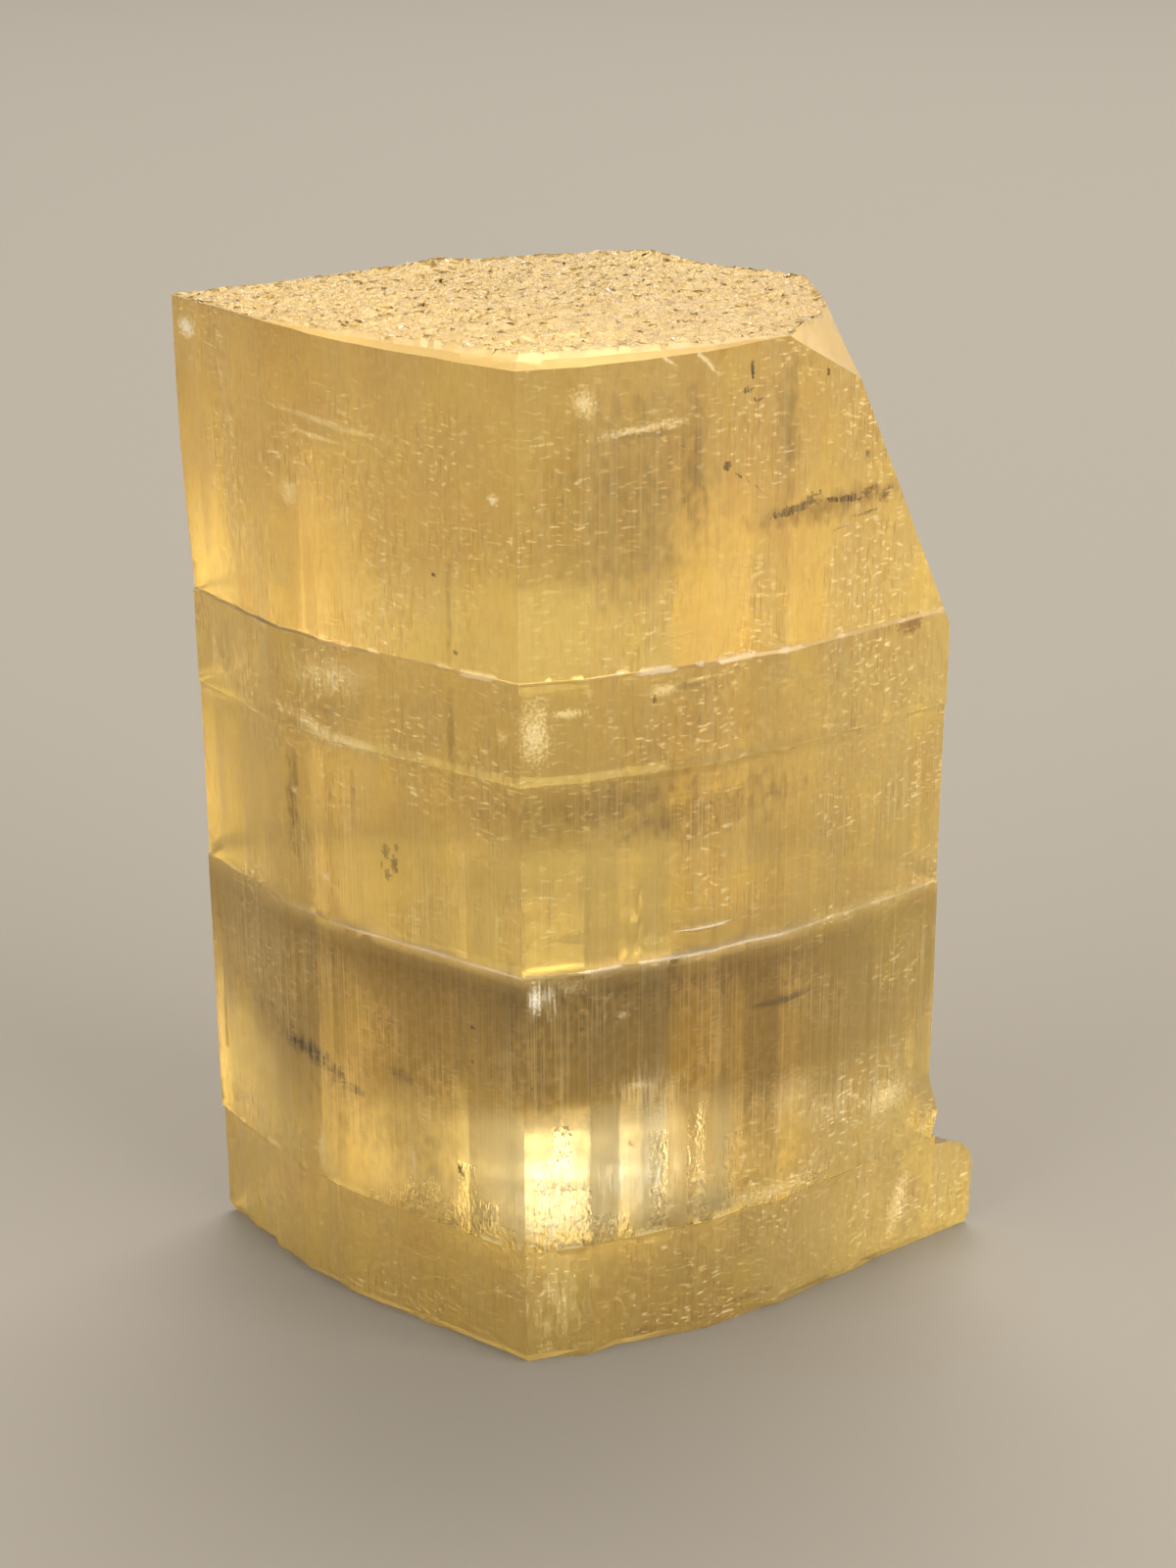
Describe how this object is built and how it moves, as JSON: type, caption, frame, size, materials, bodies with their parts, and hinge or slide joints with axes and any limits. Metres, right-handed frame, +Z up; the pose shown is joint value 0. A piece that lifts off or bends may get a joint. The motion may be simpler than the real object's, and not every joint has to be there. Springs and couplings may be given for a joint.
{
  "type": "imperial topaz crystal",
  "caption": "Stout see-through honey-gold topaz prism standing on its flat cleavage base, with striated faces, level cleavage cracks, a broken upper corner and a frosted etched top.",
  "frame": {"origin": "middle of the bounding box's underside, on the flat basal cleavage that the crystal rests on", "axes": "+Z up along the crystal's c axis, -Y towards the blunt front edge, +X towards the edge with the foot lip"},
  "size_m": [0.0288, 0.0202, 0.0357],
  "materials": {
    "topaz": "hazy see-through honey-gold topaz, glossy striated prism faces, frosted etched top"
  },
  "bodies": {
    "root": {"topaz_crystal": "topaz"}
  },
  "joints": []
}
